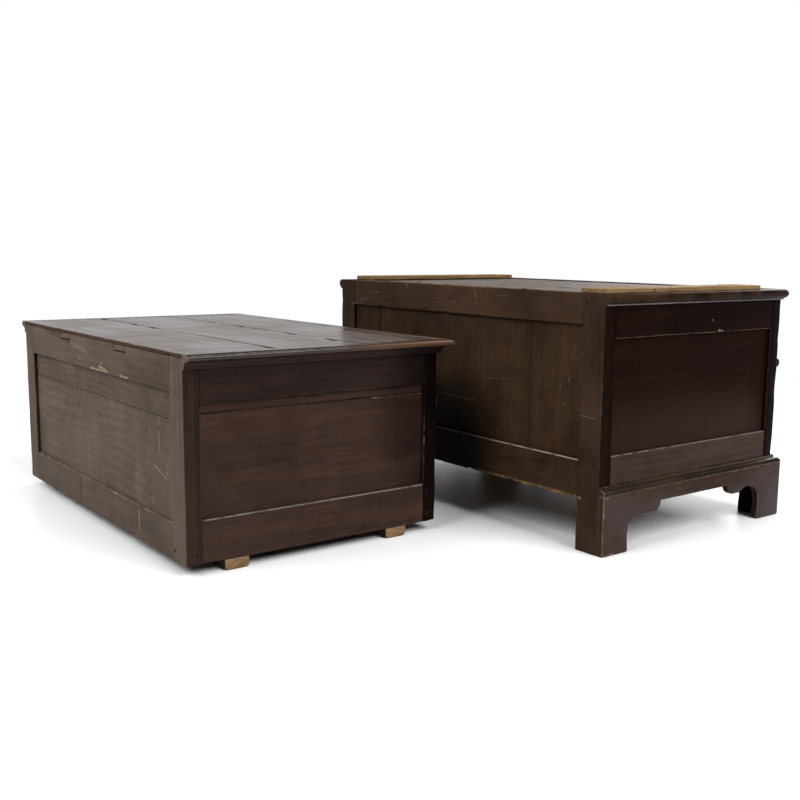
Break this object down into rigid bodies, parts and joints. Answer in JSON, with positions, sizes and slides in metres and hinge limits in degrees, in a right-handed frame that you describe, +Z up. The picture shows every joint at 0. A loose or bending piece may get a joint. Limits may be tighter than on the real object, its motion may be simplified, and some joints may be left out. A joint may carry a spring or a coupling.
{
  "type": "chest of drawers",
  "caption": "Panelled oak chest of drawers made in separate halves, with moulded edges, bracket feet and sliding drawers, standing apart.",
  "frame": {"origin": "floor under the middle of the box round both halves as they stand", "axes": "+Z up, drawers open towards -Y, +X to the right when facing the drawer fronts"},
  "size_m": [1.343, 1.375, 0.548],
  "materials": {
    "stained_oak": "dark stained and waxed",
    "raw_oak": "unfinished, darkened with age",
    "pine": "bare"
  },
  "bodies": {
    "lower_half": {"lower_front_posts": "stained_oak", "lower_back_posts": "stained_oak", "lower_side_rails": "stained_oak", "lower_side_panels": "stained_oak", "lower_back_bottom_rail": "raw_oak", "lower_back_top_rail": "raw_oak", "lower_front_rails": "stained_oak", "lower_pegs": "stained_oak", "lower_back_boards": "raw_oak", "lower_divider_moulding": "stained_oak", "lower_drawer_runners": "raw_oak", "lower_top_boards": "raw_oak", "lower_waist_moulding": "stained_oak", "lower_base_moulding": "stained_oak", "lower_left_bracket": "stained_oak", "lower_right_bracket": "stained_oak", "lower_front_bracket": "stained_oak", "lower_top_strips": "pine"},
    "upper_half": {"upper_front_posts": "stained_oak", "upper_back_posts": "stained_oak", "upper_side_rails": "stained_oak", "upper_side_panels": "stained_oak", "upper_back_bottom_rail": "raw_oak", "upper_back_top_rail": "raw_oak", "upper_front_rails": "stained_oak", "upper_pegs": "stained_oak", "upper_back_boards": "raw_oak", "upper_divider_moulding": "stained_oak", "upper_drawer_runners": "raw_oak", "upper_top_boards": "stained_oak", "upper_muntin": "stained_oak", "upper_partition": "raw_oak", "upper_top_battens": "raw_oak", "upper_top_moulding": "stained_oak", "upper_blocks": "pine"},
    "upper_left_drawer": {"upper_left_drawer_front": "stained_oak", "upper_left_drawer_sides": "raw_oak", "upper_left_drawer_back": "raw_oak", "upper_left_drawer_bottom": "raw_oak", "upper_left_drawer_knobs": "stained_oak"},
    "upper_right_drawer": {"upper_right_drawer_front": "stained_oak", "upper_right_drawer_sides": "raw_oak", "upper_right_drawer_back": "raw_oak", "upper_right_drawer_bottom": "raw_oak", "upper_right_drawer_knobs": "stained_oak"},
    "upper_long_drawer": {"upper_long_drawer_front": "stained_oak", "upper_long_drawer_sides": "raw_oak", "upper_long_drawer_back": "raw_oak", "upper_long_drawer_bottom": "raw_oak", "upper_long_drawer_knobs": "stained_oak"},
    "lower_shallow_drawer": {"lower_shallow_drawer_front": "stained_oak", "lower_shallow_drawer_sides": "raw_oak", "lower_shallow_drawer_back": "raw_oak", "lower_shallow_drawer_bottom": "raw_oak", "lower_shallow_drawer_knobs": "stained_oak"},
    "lower_deep_drawer": {"lower_deep_drawer_front": "stained_oak", "lower_deep_drawer_sides": "raw_oak", "lower_deep_drawer_back": "raw_oak", "lower_deep_drawer_bottom": "raw_oak", "lower_deep_drawer_knobs": "stained_oak"}
  },
  "joints": [
    {"name": "upper_half_lift", "type": "slide", "parent": "lower_half", "child": "upper_half", "axis": [0, 0, 1], "range_m": [0, 0.58]},
    {"name": "upper_left_drawer_slide", "type": "slide", "parent": "upper_half", "child": "upper_left_drawer", "axis": [0, -1, 0], "range_m": [0, 0.11]},
    {"name": "upper_right_drawer_slide", "type": "slide", "parent": "upper_half", "child": "upper_right_drawer", "axis": [0, -1, 0], "range_m": [0, 0.11]},
    {"name": "upper_long_drawer_slide", "type": "slide", "parent": "upper_half", "child": "upper_long_drawer", "axis": [0, -1, 0], "range_m": [0, 0.11]},
    {"name": "lower_shallow_drawer_slide", "type": "slide", "parent": "lower_half", "child": "lower_shallow_drawer", "axis": [0, -1, 0], "range_m": [0, 0.42]},
    {"name": "lower_deep_drawer_slide", "type": "slide", "parent": "lower_half", "child": "lower_deep_drawer", "axis": [0, -1, 0], "range_m": [0, 0.42]}
  ]
}
